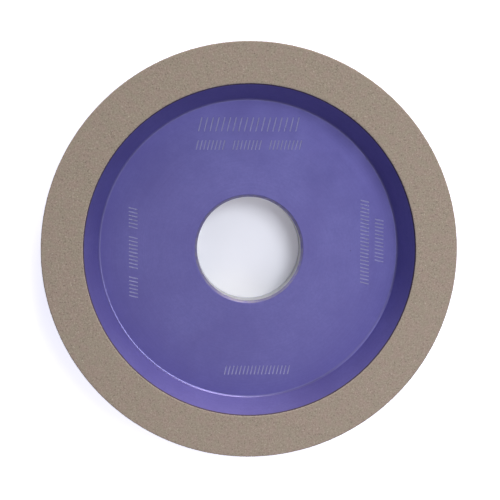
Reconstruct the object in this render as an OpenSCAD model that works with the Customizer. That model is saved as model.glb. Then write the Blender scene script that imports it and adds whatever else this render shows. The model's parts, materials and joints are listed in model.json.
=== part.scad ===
// Plain cup grinding wheel: a resin-bonded diamond rim on a turned aluminium body.
// Origin: centre of the bore on the back face. +Z runs along the bore to the working face.
// All sizes are in millimetres.

/* [Wheel] */
// Outside diameter of the abrasive rim
wheel_d = 125; // [110:1:150]
// Overall thickness, from the back face to the working face
wheel_t = 20; // [19:0.5:26]

/* [Abrasive rim] */
// Width of the working face
rim_w = 12.5; // [9:0.5:15]
// Depth of the diamond layer
layer_depth = 3; // [2:0.5:4]
// Thickness of the grit-free backing under the diamond layer
backing_t = 1.5; // [1:0.25:1.5]
// Thickness of the cured adhesive between the backing and the body
adhesive_t = 0.2; // [0.1:0.05:0.3]
// Broken edge at both corners of the working face
edge_break = 0.2; // [0.1:0.05:0.4]

/* [Body] */
// Bore diameter
bore_d = 32; // [20:0.25:40]
// Chamfer at both ends of the bore
bore_chamfer = 0.8; // [0.3:0.1:1.5]
// Thickness of the web that the bore passes through
web_t = 10; // [8:0.5:11]
// Radial run of the recess wall, from the floor's edge out to the working face
wall_run = 4; // [2:0.5:7]
// Fillet where the recess wall meets the floor
floor_fillet = 0.6; // [0.3:0.1:1.2]
// Distance that the body stands back from the outside of the abrasive rim
body_setback = 0.25; // [0.1:0.05:0.5]
// Chamfer round the back face
back_chamfer = 1; // [0.5:0.25:2]

/* [Bonded seat] */
// Number of keying grooves in the seat
groove_count = 3; // [1:1:4]
// Width of a keying groove
groove_w = 1.2; // [0.8:0.1:1.6]
// Depth of a keying groove
groove_depth = 0.6; // [0.3:0.1:1]

/* [Engraved marks] */
// Depth of the engraved strokes
mark_depth = 0.15; // [0.05:0.05:0.3]
// Width of an engraved stroke
stroke_w = 0.3; // [0.2:0.05:0.5]
// Lean of the strokes, in degrees
stroke_lean = 14; // [0:1:25]

/* [Hidden] */
$fn = 128;

wheel_r = wheel_d / 2;
bore_r = bore_d / 2;
body_r = wheel_r - body_setback;
face_r = wheel_r - rim_w;
floor_r = face_r - wall_run;

// Heights of the joints in the stack, from the body up.
seat_z = wheel_t - layer_depth - backing_t - adhesive_t;
backing_z = seat_z + adhesive_t;
layer_z = backing_z + backing_t;

// Angle of the recess wall above the floor, and the floor's length taken by the fillet.
wall_angle = atan2(wheel_t - web_t, wall_run);
fillet_reach = floor_fillet * tan(wall_angle / 2);
fillet_steps = 6;

// Rows of engraved strokes: angle round the bore, share of the way from the bore to the
// floor's edge, shift along the row, stroke height, pitch, and the strokes in each group.
group_gap = 2;
MARK_ROWS = [
    [90, 0.74, 0, 4.4, 1.75, [18]],
    [90, 0.53, 0, 3, 1.15, [8, 8, 9]],
    [180, 0.65, -1, 2.8, 1.15, [6, 9, 6]],
    [0, 0.66, 2, 2.8, 1.15, [23]],
    [0, 0.81, 2.5, 2.8, 1.15, [12]],
    [-90, 0.72, 2.5, 2.8, 1.15, [18]]
];

// Radius of the recess wall at height z.
function wall_r(z) = floor_r + wall_run * (z - web_t) / (wheel_t - web_t);

// Middle radius of keying groove i, spread evenly over the seat.
function groove_r(i) = wall_r(seat_z) + (body_r - wall_r(seat_z)) * (i + 1) / (groove_count + 1);

// Points of the floor fillet, from the wall down to the floor.
function fillet_points() = [
    for (i = [0:fillet_steps])
        let (a = wall_angle * (1 - i / fillet_steps))
        [floor_r - fillet_reach + floor_fillet * sin(a), web_t + floor_fillet * (1 - cos(a))]
];

// Number of strokes before group g of a row.
function strokes_before(groups, g) = g == 0 ? 0 : groups[g - 1] + strokes_before(groups, g - 1);

// Ring between two heights, with the recess wall as its inside.
module walled_ring(low, high, outer_r) {
    rotate_extrude()
        polygon([[wall_r(low), low], [outer_r, low], [outer_r, high], [wall_r(high), high]]);
}

// Ridges or grooves of the bonded seat, drawn from height low up to height high.
module seat_rings(low, high) {
    for (i = [0:groove_count - 1])
        rotate_extrude()
            translate([groove_r(i) - groove_w / 2, low])
                square([groove_w, high - low]);
}

// One straight row of slanted strokes, centred on the origin and running along X.
module stroke_row(height, pitch, groups) {
    total = strokes_before(groups, len(groups));
    span = (total - 1) * pitch + (len(groups) - 1) * group_gap;
    for (g = [0:len(groups) - 1])
        for (i = [0:groups[g] - 1])
            translate([(strokes_before(groups, g) + i) * pitch + g * group_gap - span / 2, 0, 0])
                rotate([0, 0, -stroke_lean])
                    translate([-stroke_w / 2, -height / 2, -mark_depth])
                        cube([stroke_w, height, 2 * mark_depth]);
}

// All rows of engraved strokes. The rows at the sides read upwards.
module engraved_marks() {
    for (row = MARK_ROWS)
        let (r = bore_r + row[1] * (floor_r - bore_r), level = abs(row[0]) == 90)
        translate([r * cos(row[0]), r * sin(row[0]), web_t])
            rotate([0, 0, level ? 0 : 90])
                translate([row[2], 0, 0])
                    stroke_row(row[3], row[4], row[5]);
}

// Turned body: web with the bore, sloping recess wall and the seat for the rim.
module wheel_body() {
    outline = concat(
        [
            [bore_r + bore_chamfer, 0],
            [body_r - back_chamfer, 0],
            [body_r, back_chamfer],
            [body_r, seat_z],
            [wall_r(seat_z), seat_z]
        ],
        fillet_points(),
        [
            [bore_r + bore_chamfer, web_t],
            [bore_r, web_t - bore_chamfer],
            [bore_r, bore_chamfer]
        ]
    );
    color([0.31, 0.27, 0.58])
        difference() {
            rotate_extrude() polygon(outline);
            seat_rings(seat_z - groove_depth, seat_z + 1);
            engraved_marks();
        }
}

// Cured adhesive: a thin film over the seat that also fills the keying grooves.
module adhesive_film() {
    color([0.83, 0.78, 0.62])
        union() {
            walled_ring(seat_z, backing_z, body_r);
            seat_rings(seat_z - groove_depth, seat_z + adhesive_t / 2);
        }
}

// Grit-free resin ring that carries the diamond layer.
module backing_ring() {
    color([0.36, 0.31, 0.27])
        walled_ring(backing_z, layer_z, wheel_r);
}

// Diamond and resin layer, with the flat working face on top.
module diamond_layer() {
    color([0.6, 0.55, 0.5])
        rotate_extrude()
            polygon([
                [wall_r(layer_z), layer_z],
                [wheel_r, layer_z],
                [wheel_r, wheel_t - edge_break],
                [wheel_r - edge_break, wheel_t],
                [face_r, wheel_t],
                [wall_r(wheel_t - edge_break), wheel_t - edge_break]
            ]);
}

wheel_body();
adhesive_film();
backing_ring();
diamond_layer();
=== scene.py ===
import json
import math

import bmesh
import bpy
import numpy as np
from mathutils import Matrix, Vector
from mathutils.geometry import delaunay_2d_cdt


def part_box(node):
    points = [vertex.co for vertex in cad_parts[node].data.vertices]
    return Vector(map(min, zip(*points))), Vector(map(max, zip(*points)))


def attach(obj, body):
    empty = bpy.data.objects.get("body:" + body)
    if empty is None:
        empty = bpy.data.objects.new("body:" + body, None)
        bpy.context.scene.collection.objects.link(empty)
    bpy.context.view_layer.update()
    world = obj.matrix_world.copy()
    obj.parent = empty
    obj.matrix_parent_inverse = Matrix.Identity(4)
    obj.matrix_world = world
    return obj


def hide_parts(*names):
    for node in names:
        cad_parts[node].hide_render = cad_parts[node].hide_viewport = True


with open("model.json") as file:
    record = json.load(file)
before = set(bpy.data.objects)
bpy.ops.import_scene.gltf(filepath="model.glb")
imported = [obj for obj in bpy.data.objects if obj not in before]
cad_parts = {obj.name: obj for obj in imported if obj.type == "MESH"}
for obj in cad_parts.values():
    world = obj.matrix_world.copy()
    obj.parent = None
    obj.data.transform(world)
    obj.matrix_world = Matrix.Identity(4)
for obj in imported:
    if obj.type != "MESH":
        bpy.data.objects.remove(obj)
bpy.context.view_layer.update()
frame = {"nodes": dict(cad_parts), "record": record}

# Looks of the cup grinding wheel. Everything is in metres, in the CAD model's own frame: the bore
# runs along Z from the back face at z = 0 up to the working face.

MM = 0.001
TAU = 2 * math.pi

# Mesh fineness
TURNS = 448              # points round a turned ring
ARC_STEP = 0.06 * MM     # length of a step round a corner
CORNER_STEPS = 3         # fewest steps round a corner
CORNER_REACH = 0.48      # most of a side that the rounding of one corner takes
STRAIGHT = 88            # degrees of half a corner's angle, past which it is no corner
HOLD = 0.04 * MM         # distance from a corner within which a straight stretch is held flat
LONG_STRETCH = 8 * HOLD  # a stretch longer than this is held
FLOOR_GRID = 2.6 * MM    # spacing of the points on the recess floor
GRAIN_TURNS = 1344       # points round the diamond layer
GRAIN_PITCH = 0.29 * MM  # spacing of the rings of the diamond layer
TURNED_EDGE = 35         # degrees between two faces, past which their edge is sharp
GRAIN_EDGE = 70          # the same on the grain
FACET_EDGE = 1           # the same on the crystals

# How near two places count as the same
SAME_SPOT = 1e-7
SAME_LEVEL = 0.004 * MM
SAME_WALL = 0.01 * MM

# Radii that the turned edges really have
SHARP = 0.06 * MM
SOFT = 0.18 * MM
FILLET = 0.6 * MM
GROOVE_EDGE = 0.05 * MM

# Finish of the body
BACK_SEAT_R = 40 * MM          # bare turned seat on the back, for the flange
BACK_SEAT_STEP = 0.04 * MM
COATED, BARE, ENGRAVED = range(3)

# Lacquer
FLOOR_EDGE_SHADE_WIDTH = 14 * MM      # band inside the edge of the recess floor that is painted darker, a painted shade near the wall
FLOOR_EDGE_SHADE_SHARE = 0.36         # how much of the darker colour, a painted shade, shows there
RUB_SHARE = (0.35, 0.85)  # least and most of it that is rubbed off the bore's chamfer
CORNER_HIGHLIGHT_SHARE = 0.25       # how much of a paler colour, a painted highlight, shows in the corner of the recess
CORNER_GLOSS = 0.22       # how much less rough it is there
SCUFF_SHARE = 0.4         # how much of it a scuff on the outer wall takes off
EDGE_WEAR = 0.7           # the same at the outer edges

# Engraved strokes. The bottom of one is a level face of the CAD model's body that lies under the
# recess floor and outside the bore's chamfer.
LEVEL = 0.99                            # least upward part of a level face's normal
STROKE_DEPTHS = (0.02 * MM, 0.5 * MM)   # least and most that a bottom lies under the floor
STROKE_CLEAR = 1 * MM                   # least that it lies outside the chamfer
STROKE_MARGIN = FLOOR_GRID * 0.4        # free room round a stroke among the floor's points
STROKE_END_STEPS = 5
BURR_WIDTH = 0.07 * MM
BURR_HEIGHT = 0.012 * MM
BURR_CREST = 0.45                       # where it is highest, as a share of its width
STROKE_WALL = ((0.22, 0.8), (0.34, 1))  # shares of the width inwards and of the depth down

# Textures
NOISE_RANGE = (0.3, 0.7)      # nearly all of a noise's values lie between these
NOISE_MIDDLE = (0.35, 0.65)   # and most of them between these
FLECK_BLUR = 0.03             # share of the cells that are flecks in part, either way

# Bonded ring
COAT_END = 0.65 * MM      # the coat stops this far under the working face
INNER_BREAK = 0.12 * MM   # width of the rubbed inner corner of the working face
BREAK_MIDDLE = 0.3        # middle of the round outer corner, as a share of its width
BEAD = 0.05 * MM          # how far the adhesive is squeezed out of its joint
BEAD_SWELL = 0.028 * MM   # how much that varies
BEAD_WAVES = (7, 12, 19, 31, 54, 88)   # numbers of waves round the wheel that add up to that

# Grain of the diamond layer
FACE_ROUGHNESS = 0.017 * MM
GRAIN_HEIGHT = 0.045 * MM
GRAIN_SHARE = 0.055
PIT_DEPTH = 0.06 * MM
PIT_SHARE = 0.05
GRAIN_SPREAD = (0.4, 1)   # least and most of a grain's height or a pit's depth
LIFT_LIMITS = (-PIT_DEPTH * 1.3, GRAIN_HEIGHT * 1.2)   # lowest and highest that a point goes
WALL_ROUGHNESS = 0.003 * MM
SCATTER = 0.32            # sideways wander of a point, as a share of the spacing
SCATTER_OFF_FACE = 0.3    # share of that wander away from the working face
CRYSTALS_ON_FACE = 3400
CRYSTALS_ON_RIM = 900
CRYSTAL_SIZE = (0.07 * MM, 0.15 * MM)
CRYSTAL_SUNK = (0.15, 0.5)   # how deep it sits, as a share of its size
CRYSTAL_REACH = (0.65, 1.1)  # how far its corners are from its centre, the same way
CRYSTAL_SKEW = 0.12          # how far they are shifted, the same way
CRYSTAL_MARGIN = 0.3 * MM    # free room along the edges of the layer
SEED = 20

# Light and camera
SKY = 0.05                # light from the room, which is dim
BACKDROP = 0.93           # how pale the room looks behind the wheel
BOTH, MATT, GLOSS = range(3)
LAMPS = (
    # name, azimuth, elevation, distance, size, power, colour, what it lights
    ("window", 74, 12, 1.4, 0.6, 17.2, (1.0, 0.91, 0.70), BOTH),
    ("softbox", 42, 62, 1.2, 0.6, 6.7, (0.95, 1.0, 0.99), BOTH),
    ("strip", 145, 22, 1.0, 0.6, 2.6, (0.92, 0.92, 1.0), GLOSS),
    ("fill_near", 304, 54, 0.3, 0.25, 0.24, (1.0, 0.96, 1.0), MATT),
    ("fill_front", 240, 45, 0.6, 0.4, 0.24, (1.0, 0.97, 1.0), MATT),
)
FLOOR_HALF = 1.5          # half of the floor's width
FLOOR_GLOW = 0.80         # how much paler the floor looks than it is lit
BORE_GLOW_WITH_SHADE = (0.22, 0.16)  # the same under the bore, at its middle and at its edge, where it is less as painted shade round the bore's wall
IN_BORE = (0.3, 0.9)      # radii between which the second takes over, as shares of the bore's
PAST_BORE = (1.5, 2)      # the same for the floor outside
GLOW_ON_WHEEL = 0.25      # share of that glow that lights the wheel
SENSOR = 36
LENS = 86.8
CLIP_START = 0.01
CAMERA_AT = (-16.7 * MM, 24.1 * MM, 380.2 * MM)
CAMERA_TURN = (-3.77, -2.63, 0)


# ---------------------------------------------------------------- sizes, read from the CAD model

def vertex_array(node):
    mesh = frame["nodes"][node].data
    points = np.empty(len(mesh.vertices) * 3, np.float32)
    mesh.vertices.foreach_get("co", points)
    return points.reshape(-1, 3).astype(float)


def radii_at(node, z):
    """Inner and outer radius of a CAD node at height z, where it has an edge."""
    points = vertex_array(node)
    level = points[np.abs(points[:, 2] - z) < SAME_LEVEL]
    radii = np.hypot(level[:, 0], level[:, 1])
    return float(radii.min()), float(radii.max())


def mount(name):
    return next(m for m in frame["record"]["mounts"] if m["name"] == name)


WHEEL_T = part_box("diamond_layer")[1].z
WHEEL_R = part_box("diamond_layer")[1].x
LAYER_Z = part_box("diamond_layer")[0].z
BACKING_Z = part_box("backing_ring")[0].z
SEAT_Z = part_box("wheel_body")[1].z
GROOVE_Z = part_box("adhesive_film")[0].z
BODY_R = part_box("wheel_body")[1].x
BORE_R = mount("bore")["dims"]["r_mm"] * MM
BORE_LENGTH = mount("bore")["dims"]["length_mm"] * MM
WEB_Z = mount("clamp_face")["pos_m"][2]
BORE_CHAMFER = (WEB_Z - BORE_LENGTH) / 2
BACK_CHAMFER = BODY_R - radii_at("wheel_body", 0)[1]
FACE_R = radii_at("diamond_layer", WHEEL_T)[0]
OUTER_BREAK = WHEEL_R - radii_at("diamond_layer", WHEEL_T)[1]
SEAT_R = radii_at("wheel_body", SEAT_Z)[0]
WALL_SLOPE = (FACE_R - SEAT_R) / (WHEEL_T - SEAT_Z)


def wall_r(z):
    """Radius of the recess wall at height z."""
    return FACE_R - WALL_SLOPE * (WHEEL_T - z)


FLOOR_R = wall_r(WEB_Z)


def groove_spans():
    """Inner and outer radius of each keying groove, from the film's ridges."""
    points = vertex_array("adhesive_film")
    foot = points[np.abs(points[:, 2] - GROOVE_Z) < SAME_LEVEL]
    edges = sorted(set(np.round(np.hypot(foot[:, 0], foot[:, 1]), 5)))
    return list(zip(edges[::2], edges[1::2]))


def engraved_strokes():
    """Centre, direction, length, width and depth of each stroke cut in the recess floor."""
    solid = bmesh.new()
    solid.from_mesh(frame["nodes"]["wheel_body"].data)
    bmesh.ops.remove_doubles(solid, verts=solid.verts, dist=SAME_SPOT)
    clear_r = BORE_R + BORE_CHAMFER + STROKE_CLEAR
    least, most = STROKE_DEPTHS
    sunk = {
        f for f in solid.faces
        if f.normal.z > LEVEL
        and WEB_Z - most < f.calc_center_median().z < WEB_Z - least
        and f.calc_center_median().xy.length > clear_r
    }
    strokes = []
    while sunk:
        island = [sunk.pop()]
        for face in island:
            for near in {f for e in face.edges for f in e.link_faces} & sunk:
                sunk.discard(near)
                island.append(near)
        # Sorted, because a set gives them in another order on each run.
        spots = np.array(sorted({tuple(v.co) for f in island for v in f.verts}))
        flat = spots[:, :2]
        centre = (flat.min(0) + flat.max(0)) / 2
        spread = np.linalg.svd(flat - flat.mean(0))[2]
        spans = np.ptp((flat - centre) @ spread.T, axis=0)
        strokes.append((centre, spread[0], spans[0], spans[1], WEB_Z - spots[:, 2].min()))
    solid.free()
    return sorted(strokes, key=lambda s: tuple(s[0]))


# ---------------------------------------------------------------- mesh tools

def rounded(corners):
    """Closed outline from (r, z, radius) corners, each turned to its own radius."""
    points = []
    count = len(corners)
    for i, (r, z, radius) in enumerate(corners):
        here = Vector((r, z))
        back = Vector(corners[i - 1][:2]) - here
        ahead = Vector(corners[(i + 1) % count][:2]) - here
        half = back.angle(ahead) / 2
        if radius <= 0 or half > math.radians(STRAIGHT):
            points.append((r, z))
            continue
        reach = min(radius / math.tan(half), back.length * CORNER_REACH,
                    ahead.length * CORNER_REACH)
        start, end = back.normalized() * reach, ahead.normalized() * reach
        centre = (start + end).normalized() * reach / math.cos(half)
        turn = math.pi - 2 * half
        steps = max(CORNER_STEPS, round(turn * radius / ARC_STEP))
        for step in range(steps + 1):
            a = turn * step / steps
            arm = (start - centre) * math.sin(turn - a) + (end - centre) * math.sin(a)
            points.append(tuple(here + centre + arm / math.sin(turn)))
    return points


def held(points):
    """Adds a point just inside both ends of each long straight, so that it shades flat."""
    kept = []
    for i, point in enumerate(points):
        here, there = np.array(point), np.array(points[(i + 1) % len(points)])
        length = np.linalg.norm(there - here)
        kept.append(here)
        if length > LONG_STRETCH:
            step = (there - here) * HOLD / length
            kept += [here + step, there - step]
    return np.array(kept)


def ring_grid(points, turns):
    """Vertices of an outline turned round the Z axis, as rings x turns x 3."""
    angles = np.arange(turns) * TAU / turns
    grid = np.empty((len(points), turns, 3))
    grid[:, :, 0] = points[:, :1] * np.cos(angles)
    grid[:, :, 1] = points[:, :1] * np.sin(angles)
    grid[:, :, 2] = points[:, 1:]
    return grid


def grid_faces(rings, turns, skip=None):
    """Quads of a closed outline that runs clockwise, facing out, and the ring of each."""
    here = np.arange(turns)
    after = (here + 1) % turns
    kept = [i for i in range(rings) if i != skip]
    quads = []
    for i in kept:
        j = (i + 1) % rings
        quads.append(np.stack([i * turns + here, j * turns + here,
                               j * turns + after, i * turns + after], 1))
    return np.concatenate(quads), np.repeat(kept, turns)


def make_object(name, vertices, faces, materials, slots, sharp_degrees=TURNED_EDGE):
    """Object from rows of vertices and a list of faces, smooth but for its sharp edges."""
    counts = [len(f) for f in faces]
    mesh = bpy.data.meshes.new(name)
    mesh.vertices.add(len(vertices))
    mesh.vertices.foreach_set("co", np.asarray(vertices, np.float32).ravel())
    mesh.loops.add(sum(counts))
    mesh.loops.foreach_set("vertex_index", np.concatenate(list(faces)).astype(np.int32))
    mesh.polygons.add(len(counts))
    mesh.polygons.foreach_set("loop_start", np.cumsum([0] + counts[:-1]).astype(np.int32))
    for material in materials:
        mesh.materials.append(material)
    mesh.polygons.foreach_set("material_index", np.asarray(slots, np.int32))
    mesh.polygons.foreach_set("use_smooth", np.ones(len(counts), bool))
    mesh.update(calc_edges=True)
    mesh.set_sharp_from_angle(angle=math.radians(sharp_degrees))
    piece = bpy.data.objects.new(name, mesh)
    bpy.context.scene.collection.objects.link(piece)
    return piece


def fit_to_wheel(piece, slot, *nodes):
    """Makes the piece ride on the wheel, and hides its CAD nodes."""
    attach(piece, "root")
    for node in nodes:
        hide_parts(node)


# ---------------------------------------------------------------- material tools

class Nodes:
    """A material's node tree, with short ways to add and join its nodes."""

    def __init__(self, name):
        self.material = bpy.data.materials.new(name)
        self.material.use_nodes = True
        self.tree = self.material.node_tree
        self.shader = self.tree.nodes["Principled BSDF"]
        self.place = self.add("ShaderNodeTexCoord").outputs["Object"]
        parts = self.add("ShaderNodeSeparateXYZ")
        self.join(self.place, parts.inputs[0])
        self.x, self.y, self.z = parts.outputs
        square = self.math("ADD", self.math("POWER", self.x, 2.0), self.math("POWER", self.y, 2.0))
        self.radius = self.math("SQRT", square)

    def add(self, kind, **settings):
        node = self.tree.nodes.new(kind)
        for key, value in settings.items():
            setattr(node, key, value)
        return node

    def join(self, source, target):
        self.tree.links.new(source, target)

    def feed(self, target, value):
        """Links a socket, or sets a plain value."""
        if isinstance(value, bpy.types.NodeSocket):
            self.join(value, target)
        elif isinstance(value, tuple):
            target.default_value = (*value, 1)
        else:
            target.default_value = value

    def math(self, operation, a, b=0.0):
        node = self.add("ShaderNodeMath", operation=operation)
        self.feed(node.inputs[0], a)
        self.feed(node.inputs[1], b)
        return node.outputs[0]

    def both(self, a, b):
        return self.math("MULTIPLY", a, b)

    def noise(self, size, detail=3.0, place=None, roughness=0.5):
        node = self.add("ShaderNodeTexNoise")
        self.join(place or self.place, node.inputs["Vector"])
        node.inputs["Scale"].default_value = 1 / size
        node.inputs["Detail"].default_value = detail
        node.inputs["Roughness"].default_value = roughness
        return node.outputs["Fac"]

    def cells(self, size):
        """Distance to the nearest cell's centre, and a random value for each cell."""
        node = self.add("ShaderNodeTexVoronoi")
        self.join(self.place, node.inputs["Vector"])
        node.inputs["Scale"].default_value = 1 / size
        return node.outputs["Distance"], node.outputs["Color"]

    def flecks(self, size, share, core, edge):
        """1 inside a share of the cells, fading from core to edge out from their centres."""
        distance, value = self.cells(size)
        chosen = self.span(value, 1 - share - FLECK_BLUR, 1 - share + FLECK_BLUR)
        return self.both(chosen, self.span(distance, core, edge, 1.0, 0.0))

    def ramp(self, value, *stops):
        """Colour stops as (position, colour)."""
        node = self.add("ShaderNodeValToRGB")
        bar = node.color_ramp
        bar.interpolation = "EASE"
        while len(bar.elements) < len(stops):
            bar.elements.new(0.5)
        for element, (position, colour) in zip(bar.elements, stops):
            element.position = position
            element.color = (*colour, 1)
        self.join(value, node.inputs["Fac"])
        return node.outputs["Color"]

    def span(self, value, low, high, to_low=0.0, to_high=1.0):
        """Maps low..high of a value to another range, clamped."""
        node = self.add("ShaderNodeMapRange")
        self.feed(node.inputs["Value"], value)
        node.inputs["From Min"].default_value = low
        node.inputs["From Max"].default_value = high
        node.inputs["To Min"].default_value = to_low
        node.inputs["To Max"].default_value = to_high
        return node.outputs["Result"]

    def tones(self, noise, dark, pale, over=NOISE_RANGE):
        """Colour that runs from dark to pale as a noise rises."""
        return self.ramp(noise, (over[0], dark), (over[1], pale))

    def vary(self, noise, low, high):
        """Value that runs from low to high as a noise rises."""
        return self.span(noise, *NOISE_RANGE, low, high)

    def mottle(self, base, noise, share, colour):
        """Mixes up to a share of a colour in, in soft patches."""
        return self.mix(self.span(noise, *NOISE_MIDDLE, 0.0, share), base, colour)

    def speckle(self, base, flecks, share, colour):
        """Mixes a share of a colour in where the flecks are."""
        return self.mix(self.both(flecks, share), base, colour)

    def mix(self, share, a, b):
        """Mixes two colours, by the number of their sockets, as the names aren't unique."""
        node = self.add("ShaderNodeMix", data_type="RGBA")
        self.feed(node.inputs["Factor"], share)
        self.feed(node.inputs[6], a)
        self.feed(node.inputs[7], b)
        return node.outputs[2]

    def turned_place(self, ring_size, along):
        """Coordinates nearly even round the axis, so that noise on them makes turned rings."""
        joined = self.add("ShaderNodeCombineXYZ")
        self.feed(joined.inputs["X"], self.both(self.x, along))
        self.feed(joined.inputs["Y"], self.both(self.y, along))
        path = self.math("ADD", self.radius, self.z)
        self.feed(joined.inputs["Z"], self.math("DIVIDE", path, ring_size))
        return joined.outputs[0]

    def bump(self, height, distance, strength, after=None):
        node = self.add("ShaderNodeBump")
        node.inputs["Strength"].default_value = strength
        node.inputs["Distance"].default_value = distance
        self.join(height, node.inputs["Height"])
        if after is not None:
            self.join(after, node.inputs["Normal"])
        return node.outputs["Normal"]

    def finish(self, colour, roughness, normal=None, **constants):
        self.feed(self.shader.inputs["Base Color"], colour)
        self.feed(self.shader.inputs["Roughness"], roughness)
        for name, value in constants.items():
            self.shader.inputs[name.replace("_", " ")].default_value = value
        if normal is not None:
            self.join(normal, self.shader.inputs["Normal"])
        return self.material


def violet_coat():
    """Thin satin lacquer over turned aluminium, which glints through it."""
    n = Nodes("violet_coat")
    base = n.tones(n.noise(14 * MM, detail=4), (0.190, 0.168, 0.500), (0.217, 0.199, 0.556))
    base = n.mottle(base, n.noise(2.2 * MM), 0.25, (0.165, 0.158, 0.488))
    base = n.mottle(base, n.noise(0.7 * MM), 0.30, (0.155, 0.139, 0.446))
    rings = n.noise(1.0, detail=2, place=n.turned_place(0.35 * MM, along=6.0))
    base = n.mottle(base, rings, 0.14, (0.120, 0.105, 0.360))

    in_recess = n.both(n.span(n.radius, FACE_R, FACE_R + MM, 1.0, 0.0),
                       n.span(n.z, WEB_Z - MM, WEB_Z - MM / 2))
    # Painted shade: the floor is painted darker round its edge, towards the wall of the recess.
    floor_edge_shade = n.both(n.span(n.radius, FLOOR_R - FLOOR_EDGE_SHADE_WIDTH, FLOOR_R - MM, 0.0, FLOOR_EDGE_SHADE_SHARE),
                    n.span(n.z, WEB_Z + 0.2 * MM, WEB_Z + MM, 1.0, 0.0))
    base = n.mix(n.both(floor_edge_shade, in_recess), base, (0.120, 0.100, 0.400))

    # Spindles have rubbed it off the bore's chamfer.
    rub = n.both(n.span(n.radius, BORE_R + BORE_CHAMFER, BORE_R + BORE_CHAMFER * 0.8),
                 n.span(n.noise(1.5 * MM), 0.35, 0.6, *RUB_SHARE))
    base = n.mix(rub, base, (0.34, 0.32, 0.46))

    # Painted highlight: the corner of the recess is painted paler so that its glint looks whiter,
    # and it is also less rough there.
    corner_highlight_and_gloss = n.both(n.span(n.radius, FLOOR_R - FILLET, FLOOR_R - FILLET * 0.6),
                    n.span(n.z, WEB_Z + FILLET * 0.7, WEB_Z + FILLET, 1.0, 0.0))
    corner_highlight_and_gloss = n.both(corner_highlight_and_gloss, in_recess)
    base = n.mix(n.both(corner_highlight_and_gloss, CORNER_HIGHLIGHT_SHARE), base, (0.36, 0.34, 0.62))
    rough = n.vary(n.noise(6 * MM), 0.50, 0.58)
    rough = n.math("SUBTRACT", rough, n.both(corner_highlight_and_gloss, CORNER_GLOSS))

    # A few specks of dust are caught in it.
    base = n.speckle(base, n.flecks(4.5 * MM, 0.27, 0.03, 0.06), 0.6, (0.05, 0.04, 0.12))

    # Handling has scuffed the outer wall and worn the edges above and below it.
    streak = n.noise(1.0, detail=1, place=n.turned_place(0.4 * MM, along=70.0))
    edges = n.math("MAXIMUM", n.span(n.z, SEAT_Z - 0.35 * MM, SEAT_Z - 0.1 * MM),
                   n.span(n.z, BACK_CHAMFER + 0.2 * MM, BACK_CHAMFER - 0.2 * MM))
    worn = n.both(edges, n.span(n.noise(1.2 * MM), 0.45, 0.6, 0.0, EDGE_WEAR))
    worn = n.math("MAXIMUM", worn, n.span(streak, 0.63, 0.72, 0.0, SCUFF_SHARE))
    worn = n.both(worn, n.span(n.radius, BODY_R - MM, BODY_R - MM / 2))
    base = n.mix(worn, base, (0.40, 0.38, 0.58))

    peel = n.noise(0.9 * MM, detail=2)
    normal = n.bump(peel, 0.006 * MM, 0.5, after=n.bump(rings, 0.004 * MM, 0.5))
    return n.finish(base, rough, normal, Metallic=0.53)


def bare_aluminium():
    """Turned aluminium without lacquer, with the fine rings of the tool."""
    n = Nodes("turned_aluminium")
    rings = n.noise(1.0, place=n.turned_place(0.11 * MM, along=2.0))
    broad = n.noise(1.0, detail=2, place=n.turned_place(0.9 * MM, along=4.0))
    base = n.tones(rings, (0.58, 0.58, 0.59), (0.80, 0.80, 0.80))
    base = n.mix(n.span(n.noise(5 * MM), 0.45, 0.75, 0.0, 0.35), base, (0.54, 0.54, 0.55))
    normal = n.bump(rings, 0.008 * MM, 0.8, after=n.bump(broad, 0.01 * MM, 0.5))
    tangent = n.add("ShaderNodeTangent", direction_type="RADIAL", axis="Z").outputs[0]
    n.join(tangent, n.shader.inputs["Tangent"])
    return n.finish(base, n.vary(broad, 0.27, 0.42), normal, Metallic=1.0, Anisotropic=0.6)


def engraved_metal():
    """Floor and walls of the strokes, where the cutter thinned the coat."""
    n = Nodes("engraved_metal")
    chatter = n.noise(0.12 * MM)
    base = n.tones(chatter, (0.29, 0.28, 0.56), (0.48, 0.47, 0.72), over=NOISE_MIDDLE)
    normal = n.bump(chatter, 0.02 * MM, 0.6)
    return n.finish(base, n.vary(chatter, 0.42, 0.62), normal, Metallic=0.35)


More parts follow.
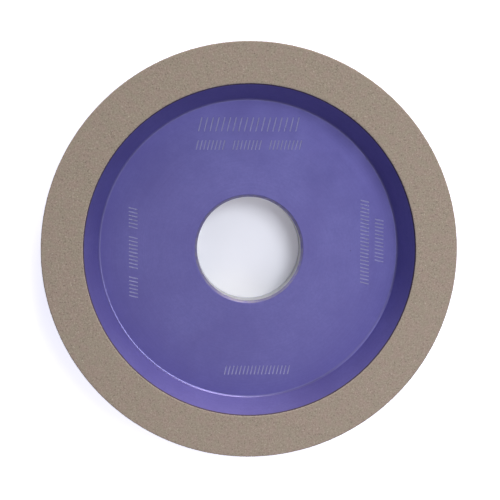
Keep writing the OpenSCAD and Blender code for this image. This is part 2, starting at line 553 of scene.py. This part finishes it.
def diamond_bond():
    """Grey-brown resin packed with filler and diamond, with a painted highlight along its inner
    corner and a very dark band just under it.
    """
    n = Nodes("diamond_bond")
    base = n.ramp(n.noise(0.5 * MM, detail=2, roughness=0.7),
                  (0.28, (0.252, 0.193, 0.160)), (0.5, (0.378, 0.301, 0.255)),
                  (0.72, (0.520, 0.429, 0.370)))
    cloud = n.vary(n.noise(7 * MM, detail=4), 0.0, 0.35)
    base = n.mix(cloud, base, (0.375, 0.315, 0.264))
    warm = n.ramp(n.noise(2.4 * MM, detail=3), (0.36, (0.405, 0.290, 0.262)),
                  (0.64, (0.352, 0.314, 0.240)))
    base = n.mix(0.28, base, warm)
    base = n.speckle(base, n.flecks(0.42 * MM, 0.21, 0.25, 0.55), 0.6, (0.130, 0.105, 0.090))
    base = n.speckle(base, n.flecks(0.2 * MM, 0.18, 0.2, 0.5), 0.6, (0.75, 0.68, 0.56))
    base = n.speckle(base, n.flecks(0.5 * MM, 0.09, 0.2, 0.5), 0.5, (0.74, 0.66, 0.58))
    # Painted highlight: a paler rim along the inner corner of the working face.
    inner_edge_highlight = n.span(n.radius, FACE_R + INNER_BREAK * 2, FACE_R + INNER_BREAK, 0.0, 0.35)
    base = n.mix(inner_edge_highlight, base, (0.46, 0.41, 0.42))
    # Just under its corner the inner wall is given a very dark colour.
    under_corner_dark = n.span(n.z, WHEEL_T - INNER_BREAK * 0.4, WHEEL_T - INNER_BREAK)
    under_corner_dark = n.both(under_corner_dark, n.span(n.radius, FACE_R + MM, FACE_R + 2 * MM, 1.0, 0.0))
    base = n.mix(under_corner_dark, base, (0.070, 0.045, 0.080))
    normal = n.bump(n.noise(0.16 * MM), 0.03 * MM, 0.5)
    return n.finish(base, n.vary(n.noise(0.2 * MM), 0.62, 0.85), normal)


def diamond_crystal():
    """Synthetic diamond: pale yellow-grey and very bright where a facet meets the light."""
    n = Nodes("diamond_crystal")
    tint = n.noise(0.6 * MM, detail=1)
    base = n.ramp(tint, (0.3, (0.27, 0.24, 0.17)), (0.5, (0.45, 0.41, 0.30)),
                  (0.7, (0.66, 0.62, 0.50)))
    return n.finish(base, n.vary(tint, 0.12, 0.30), IOR=2.0)


def filled_resin():
    """Grit-free phenolic backing, turned smooth."""
    n = Nodes("filled_resin")
    rings = n.noise(1.0, place=n.turned_place(0.16 * MM, along=8.0))
    base = n.tones(rings, (0.12, 0.09, 0.07), (0.19, 0.15, 0.12))
    base = n.speckle(base, n.flecks(0.5 * MM, 0.19, 0.15, 0.4), 0.5, (0.38, 0.32, 0.26))
    return n.finish(base, n.vary(rings, 0.42, 0.58), n.bump(rings, 0.01 * MM, 0.6))


def cured_adhesive():
    """Cream epoxy, with pinholes where air was trapped."""
    n = Nodes("cured_adhesive")
    cloud = n.noise(2.5 * MM)
    base = n.tones(cloud, (0.46, 0.40, 0.24), (0.60, 0.54, 0.37))
    hole = n.flecks(0.35 * MM, 0.18, 0.1, 0.3)
    base = n.mix(hole, base, (0.20, 0.16, 0.09))
    return n.finish(base, n.vary(cloud, 0.28, 0.42), n.bump(hole, -0.05 * MM, 0.8))


# ---------------------------------------------------------------- the wheel body

def stadium(stroke, grow, z):
    """Outline of a stroke with round ends, grown outwards by grow."""
    centre, along, length, width, _ = stroke
    across = np.array([-along[1], along[0]])
    radius = width / 2 + grow
    half = (length - width) / 2
    turn = math.pi * (np.arange(STROKE_END_STEPS + 1) / STROKE_END_STEPS - 0.5)
    cap = along * (half + radius * np.cos(turn))[:, None] + across * radius * np.sin(turn)[:, None]
    flat = np.concatenate([centre + cap, centre - cap])
    return np.column_stack([flat, np.full(len(flat), z)])


def clear_of_strokes(spots, strokes, gap):
    """True for each spot that is further than gap from every stroke."""
    clear = np.ones(len(spots), bool)
    for centre, along, length, width, _ in strokes:
        offset = spots - centre
        reach = np.clip(offset @ along, -(length - width) / 2, (length - width) / 2)
        clear &= np.linalg.norm(offset - reach[:, None] * along, axis=1) > gap
    return clear


def floor_spots(inner_r, outer_r):
    """Spots spread evenly over the recess floor, in rings."""
    rings = round((outer_r - inner_r) / FLOOR_GRID)
    spots = []
    for i in range(1, rings):
        radius = inner_r + (outer_r - inner_r) * i / rings
        count = round(TAU * radius / FLOOR_GRID)
        angles = TAU * (np.arange(count) + 0.5 * (i % 2)) / count
        spots.append(radius * np.column_stack([np.cos(angles), np.sin(angles)]))
    return np.concatenate(spots)


def floor_triangles(loops, spread):
    """Triangles between the loops and over the spread spots, with the loops' holes left open.

    The first loop is the bore's edge, the second the floor's outer edge, and the rest are holes.
    """
    starts = np.cumsum([0] + [len(loop) for loop in loops])
    edges = [(int(start) + i, int(start) + (i + 1) % len(loop))
             for start, loop in zip(starts, loops) for i in range(len(loop))]
    flat = np.concatenate(loops + [spread])
    points = [Vector(p) for p in flat]
    spots, _, triangles, origins, *_ = delaunay_2d_cdt(points, edges, [], 0, SAME_SPOT)
    assert len(spots) == len(flat), "strokes on the recess floor cross each other"
    corners = np.array([origin[0] for origin in origins])[np.array(triangles)]
    # A triangle with all its corners on one hole's loop, or on the bore's edge, fills that hole.
    hole = np.full(len(flat), -1)
    for k, (start, end) in enumerate(zip(starts, starts[1:])):
        hole[start:end] = k if k != 1 else -1
    owner = hole[corners]
    filled = (owner[:, 0] >= 0) & (owner == owner[:, :1]).all(1)
    return corners[~filled]


def cut_stroke(stroke, mouth, first):
    """Burr, walls and bottom of a stroke inside its mouth's vertices.

    Returns the new vertices, numbered from first, and the faces with their slots.
    """
    width, depth = stroke[3:]
    profile = [(BURR_WIDTH, WEB_Z, COATED),
               (BURR_WIDTH * BURR_CREST, WEB_Z + BURR_HEIGHT, COATED), (0.0, WEB_Z, ENGRAVED)]
    profile += [(-width * inwards, WEB_Z - depth * down, ENGRAVED)
                for inwards, down in STROKE_WALL]
    rings, faces, slots = [], [], []
    upper = mouth
    for grow, z, slot in profile:
        rings.append(stadium(stroke, grow, z))
        lower = first + np.arange(len(mouth))
        first += len(mouth)
        quads = np.stack([upper, np.roll(upper, -1), np.roll(lower, -1), lower], 1)
        faces += list(quads)
        slots += [slot] * len(quads)
        upper = lower
    faces.append(upper)
    slots.append(ENGRAVED)
    return np.concatenate(rings), faces, slots


def body_outline():
    """Outline of the body. Its last stretch but one is the recess floor, run outwards."""
    chamfer_r = BORE_R + BORE_CHAMFER
    corners = [(FLOOR_R, WEB_Z, FILLET), (SEAT_R, SEAT_Z, 0)]
    for inner, outer in groove_spans():
        corners += [(inner, SEAT_Z, GROOVE_EDGE), (inner, GROOVE_Z, GROOVE_EDGE),
                    (outer, GROOVE_Z, GROOVE_EDGE), (outer, SEAT_Z, GROOVE_EDGE)]
    corners += [
        (BODY_R, SEAT_Z, SHARP),
        (BODY_R, BACK_CHAMFER, SOFT),
        (BODY_R - BACK_CHAMFER, 0, SOFT),
        (BACK_SEAT_R + BACK_SEAT_STEP, 0, 0),
        (BACK_SEAT_R, BACK_SEAT_STEP, 0),
        (BACK_SEAT_R - BACK_SEAT_STEP, 0, 0),
        (chamfer_r, 0, SHARP),
        (BORE_R, BORE_CHAMFER, SHARP),
        (BORE_R, WEB_Z - BORE_CHAMFER, SOFT),
        (chamfer_r, WEB_Z, SOFT),
    ]
    return held(rounded(corners))


def body_slot(r, z):
    """Finish of the body in the middle of a stretch of its outline."""
    in_bore = r < BORE_R + SOFT / 4
    lower_chamfer = z < WEB_Z / 2 and r < BORE_R + BORE_CHAMFER
    on_seat = z > GROOVE_Z - SHARP and SEAT_R < r < BODY_R - SHARP / 2
    on_back = z < BACK_SEAT_STEP * 1.5 and r < BACK_SEAT_R + BACK_SEAT_STEP
    return BARE if in_bore or lower_chamfer or on_seat or on_back else COATED


def build_body(coat, bare):
    """Turned body, with its recess floor laid in round the engraved strokes."""
    points = body_outline()
    rings = len(points)
    grid = ring_grid(points, TURNS)
    faces, owners = grid_faces(rings, TURNS, skip=rings - 2)
    middles = (points + np.roll(points, -1, 0)) / 2
    slots = np.array([body_slot(*middle) for middle in middles])[owners]

    # The floor's triangles use the grid's own vertices along both of its edges.
    strokes = engraved_strokes()
    mouths = [stadium(stroke, BURR_WIDTH + HOLD, WEB_Z)[:, :2] for stroke in strokes]
    spread = floor_spots(points[-2][0], points[-1][0])
    spread = spread[clear_of_strokes(spread, strokes, STROKE_MARGIN)]
    edge_rings = [grid[-2, :, :2], grid[-1, :, :2]]
    triangles = floor_triangles(edge_rings + mouths, spread)
    first = (rings - 2) * TURNS
    flat = np.concatenate(mouths + [spread])
    vertices = [grid.reshape(-1, 3), np.column_stack([flat, np.full(len(flat), WEB_Z)])]
    all_faces = list(faces) + list(triangles + first)
    all_slots = list(slots) + [COATED] * len(triangles)
    total = rings * TURNS + len(flat)
    mouth_start = rings * TURNS
    for stroke, spots in zip(strokes, mouths):
        mouth = mouth_start + np.arange(len(spots))
        mouth_start += len(spots)
        cut, cut_faces, cut_slots = cut_stroke(stroke, mouth, total)
        vertices.append(cut)
        all_faces += cut_faces
        all_slots += cut_slots
        total += len(cut)
    piece = make_object("wheel_body_turned", np.concatenate(vertices), all_faces,
                        [coat, bare, engraved_metal()], all_slots)
    fit_to_wheel(piece, "coated_aluminium", "wheel_body")


# ---------------------------------------------------------------- the bonded ring

def build_ring(name, points, grid, finish, coat, slot, node):
    """Ring whose first stretch is its inner wall, which the coat covers."""
    faces, owners = grid_faces(len(points), TURNS)
    on_wall = points[:, 0] < wall_r(points[:, 1]) + HOLD / 2
    coated = on_wall & np.roll(on_wall, -1)
    piece = make_object(name, grid.reshape(-1, 3), faces, [finish, coat], coated[owners])
    fit_to_wheel(piece, slot, node)


def build_adhesive(random, coat):
    """Thin film with ridges below it and an uneven bead where it was squeezed out."""
    corners = [(wall_r(SEAT_Z), SEAT_Z, 0), (wall_r(BACKING_Z), BACKING_Z, 0),
               (BODY_R, BACKING_Z, 0), (BODY_R + BEAD, (BACKING_Z + SEAT_Z) / 2, 0),
               (BODY_R, SEAT_Z, 0)]
    for inner, outer in reversed(groove_spans()):
        corners += [(outer, SEAT_Z, GROOVE_EDGE), (outer, GROOVE_Z, GROOVE_EDGE),
                    (inner, GROOVE_Z, GROOVE_EDGE), (inner, SEAT_Z, GROOVE_EDGE)]
    points = held(rounded(corners))
    grid = ring_grid(points, TURNS)
    angles = np.arange(TURNS) * TAU / TURNS
    swell = sum(random.uniform(0.2, 1) * np.sin(k * angles + random.uniform(0, TAU))
                for k in BEAD_WAVES)
    bead = points[:, 0].argmax()
    grid[bead, :, :2] *= (1 + BEAD_SWELL / BODY_R * swell / np.abs(swell).max())[:, None]
    build_ring("adhesive_bead", points, grid, cured_adhesive(), coat, "cured_adhesive",
               "adhesive_film")


def build_backing(coat):
    corners = [(wall_r(BACKING_Z), BACKING_Z, 0), (wall_r(LAYER_Z), LAYER_Z, 0),
               (WHEEL_R, LAYER_Z, SHARP / 3), (WHEEL_R, BACKING_Z, SOFT)]
    points = held(rounded(corners))
    build_ring("backing_ring_resin", points, ring_grid(points, TURNS), filled_resin(), coat,
               "filled_resin", "backing_ring")


def layer_outline():
    """Outline of the diamond layer, with a point every grain on all that shows."""
    coat_top = WHEEL_T - COAT_END
    corners = np.array([
        (wall_r(LAYER_Z), LAYER_Z),
        (wall_r(coat_top), coat_top),
        (wall_r(WHEEL_T - INNER_BREAK), WHEEL_T - INNER_BREAK),
        (FACE_R + INNER_BREAK, WHEEL_T),
        (WHEEL_R - OUTER_BREAK, WHEEL_T),
        (WHEEL_R - OUTER_BREAK * BREAK_MIDDLE, WHEEL_T - OUTER_BREAK * BREAK_MIDDLE),
        (WHEEL_R, WHEEL_T - OUTER_BREAK),
        (WHEEL_R, LAYER_Z),
    ])
    points = []
    for here, there in zip(corners, corners[1:]):
        steps = max(1, round(np.linalg.norm(there - here) / GRAIN_PITCH))
        points += [here + (there - here) * s / steps for s in range(steps)]
    return np.array(points + [corners[-1]])


def build_diamond_layer(random, coat):
    """The layer, with a grainy working face and outer wall and a coated inner wall."""
    points = layer_outline()
    radii, heights = points[:, 0], points[:, 1]
    ahead = np.roll(points, -1, 0) - np.roll(points, 1, 0)
    ahead /= np.linalg.norm(ahead, axis=1)[:, None]
    outward = np.stack([-ahead[:, 1], ahead[:, 0]], 1)

    on_wall = radii < wall_r(heights) + SAME_WALL
    coated = on_wall & (heights < WHEEL_T - COAT_END + SAME_WALL)
    grainy = 1.0 - coated
    grainy[[0, -1]] = 0
    shape = (len(points), GRAIN_TURNS)
    kind = random.random(shape)
    lift = random.normal(0, FACE_ROUGHNESS, shape)
    lift += np.where(kind < GRAIN_SHARE, GRAIN_HEIGHT * random.uniform(*GRAIN_SPREAD, shape), 0)
    lift -= np.where(kind > 1 - PIT_SHARE, PIT_DEPTH * random.uniform(*GRAIN_SPREAD, shape), 0)
    lift = np.clip(lift, *LIFT_LIMITS) * grainy[:, None]
    lift += random.normal(0, WALL_ROUGHNESS, shape) * coated[:, None]
    lift[[0, -1]] = 0
    off_face = np.abs(heights - WHEEL_T) > SAME_LEVEL
    wander = grainy * np.where(off_face, SCATTER * SCATTER_OFF_FACE, SCATTER)
    slip = random.uniform(-1, 1, shape) * GRAIN_PITCH * wander[:, None]
    slip_round = random.uniform(-1, 1, shape) * TAU / GRAIN_TURNS * SCATTER * grainy[:, None]

    angles = np.arange(GRAIN_TURNS) * TAU / GRAIN_TURNS + slip_round
    r = radii[:, None] + outward[:, :1] * lift + ahead[:, :1] * slip
    z = heights[:, None] + outward[:, 1:] * lift + ahead[:, 1:] * slip
    grid = np.stack([r * np.cos(angles), r * np.sin(angles), z], 2)
    faces, owners = grid_faces(len(points), GRAIN_TURNS)
    slots = (coated & np.roll(coated, -1))[owners]
    piece = make_object("diamond_layer_grain", grid.reshape(-1, 3), faces,
                        [diamond_bond(), coat], slots, sharp_degrees=GRAIN_EDGE)
    fit_to_wheel(piece, "diamond_abrasive", "diamond_layer")


def build_crystals(random):
    """Broken diamond crystals standing out of the face and the outer wall."""
    count = CRYSTALS_ON_FACE + CRYSTALS_ON_RIM
    size = random.uniform(*CRYSTAL_SIZE, count)
    angle = random.uniform(0, TAU, count)
    inner, outer = FACE_R + CRYSTAL_MARGIN, WHEEL_R - CRYSTAL_MARGIN
    radius = np.sqrt(random.uniform(inner ** 2, outer ** 2, count))
    sunk = random.uniform(*CRYSTAL_SUNK, count) * size
    height = WHEEL_T - sunk
    rim = slice(CRYSTALS_ON_FACE, None)
    radius[rim] = WHEEL_R - sunk[rim]
    height[rim] = random.uniform(LAYER_Z + CRYSTAL_MARGIN, WHEEL_T - CRYSTAL_MARGIN,
                                 CRYSTALS_ON_RIM)
    centre = np.stack([radius * np.cos(angle), radius * np.sin(angle), height], 1)

    # Each crystal is an octahedron with its corners shifted, turned at random.
    corner_highlight_and_gloss = np.array([(1, 0, 0), (0, 1, 0), (-1, 0, 0), (0, -1, 0), (0, 0, 1), (0, 0, -1)], float)
    faces = np.array([(0, 1, 4), (1, 2, 4), (2, 3, 4), (3, 0, 4),
                      (1, 0, 5), (2, 1, 5), (3, 2, 5), (0, 3, 5)])
    shape = corner_highlight_and_gloss * random.uniform(*CRYSTAL_REACH, (count, 6, 1))
    shape += random.normal(0, CRYSTAL_SKEW, shape.shape)
    turn = np.linalg.qr(random.normal(size=(count, 3, 3)))[0]
    turn *= np.sign(np.linalg.det(turn))[:, None, None]
    points = np.einsum("nij,nkj->nki", turn, shape * size[:, None, None]) + centre[:, None]
    all_faces = (faces + 6 * np.arange(count)[:, None, None]).reshape(-1, 3)
    piece = make_object("diamond_crystals", points.reshape(-1, 3), all_faces,
                        [diamond_crystal()], np.zeros(len(all_faces)), sharp_degrees=FACET_EDGE)
    fit_to_wheel(piece, "diamond_abrasive")


# ---------------------------------------------------------------- stage, light and camera

def build_stage():
    """Pale floor that glows, and glows less under the bore and on the wheel; under the bore the
    glow falls towards the edge, a painted shade.
    """
    n = Nodes("floor_white")
    n.finish((0.85, 0.85, 0.95), 0.6, Emission_Color=(0.92, 0.92, 1.0, 1.0))
    middle, edge = BORE_GLOW_WITH_SHADE
    in_bore = [BORE_R * share for share in IN_BORE]
    past_bore = [BORE_R * share for share in PAST_BORE]
    # Under the bore the glow falls from its middle to its edge: painted shade round the bore's
    # wall.
    glow = n.math("ADD", n.span(n.radius, *in_bore, middle, edge),
                  n.span(n.radius, *past_bore, 0.0, FLOOR_GLOW - edge))
    seen = n.add("ShaderNodeLightPath").outputs["Is Camera Ray"]
    glow = n.both(glow, n.span(seen, 0.0, 1.0, GLOW_ON_WHEEL, 1.0))
    n.join(glow, n.shader.inputs["Emission Strength"])
    half = FLOOR_HALF
    corners = [(-half, -half, 0), (half, -half, 0), (half, half, 0), (-half, half, 0)]
    make_object("floor", corners, [np.arange(4)], [n.material], [0])


def build_light():
    """Dim room that looks pale, and the lamps."""
    world = bpy.data.worlds.new("studio")
    world.use_nodes = True
    tree = world.node_tree
    sky = tree.nodes["Background"]
    sky.inputs["Color"].default_value = (1, 1, 1, 1)
    level = tree.nodes.new("ShaderNodeMapRange")
    level.inputs["To Min"].default_value = SKY
    level.inputs["To Max"].default_value = BACKDROP
    seen = tree.nodes.new("ShaderNodeLightPath").outputs["Is Camera Ray"]
    tree.links.new(seen, level.inputs["Value"])
    tree.links.new(level.outputs["Result"], sky.inputs["Strength"])
    bpy.context.scene.world = world
    for name, azimuth, elevation, distance, size, power, colour, lights in LAMPS:
        lamp = bpy.data.lights.new(name, "AREA")
        lamp.size = size
        lamp.energy = power
        lamp.color = colour
        holder = bpy.data.objects.new(name, lamp)
        bpy.context.scene.collection.objects.link(holder)
        turn, tilt = math.radians(azimuth), math.radians(elevation)
        towards = Vector((math.cos(tilt) * math.cos(turn), math.cos(tilt) * math.sin(turn),
                          math.sin(tilt)))
        holder.location = towards * distance
        holder.visible_glossy = lights != MATT
        holder.visible_diffuse = lights != GLOSS
        holder.rotation_euler = towards.to_track_quat("Z", "Y").to_euler()


def build_camera():
    lens = bpy.data.cameras.new("camera")
    lens.sensor_width = SENSOR
    lens.lens = LENS
    lens.clip_start = CLIP_START
    camera = bpy.data.objects.new("camera", lens)
    camera.location = CAMERA_AT
    camera.rotation_euler = tuple(math.radians(a) for a in CAMERA_TURN)
    bpy.context.scene.collection.objects.link(camera)
    bpy.context.scene.camera = camera


rng = np.random.default_rng(SEED)
lacquer = violet_coat()
build_body(lacquer, bare_aluminium())
build_adhesive(rng, lacquer)
build_backing(lacquer)
build_diamond_layer(rng, lacquer)
build_crystals(rng)
build_stage()
build_light()
build_camera()
bpy.context.scene.view_settings.view_transform = "Standard"
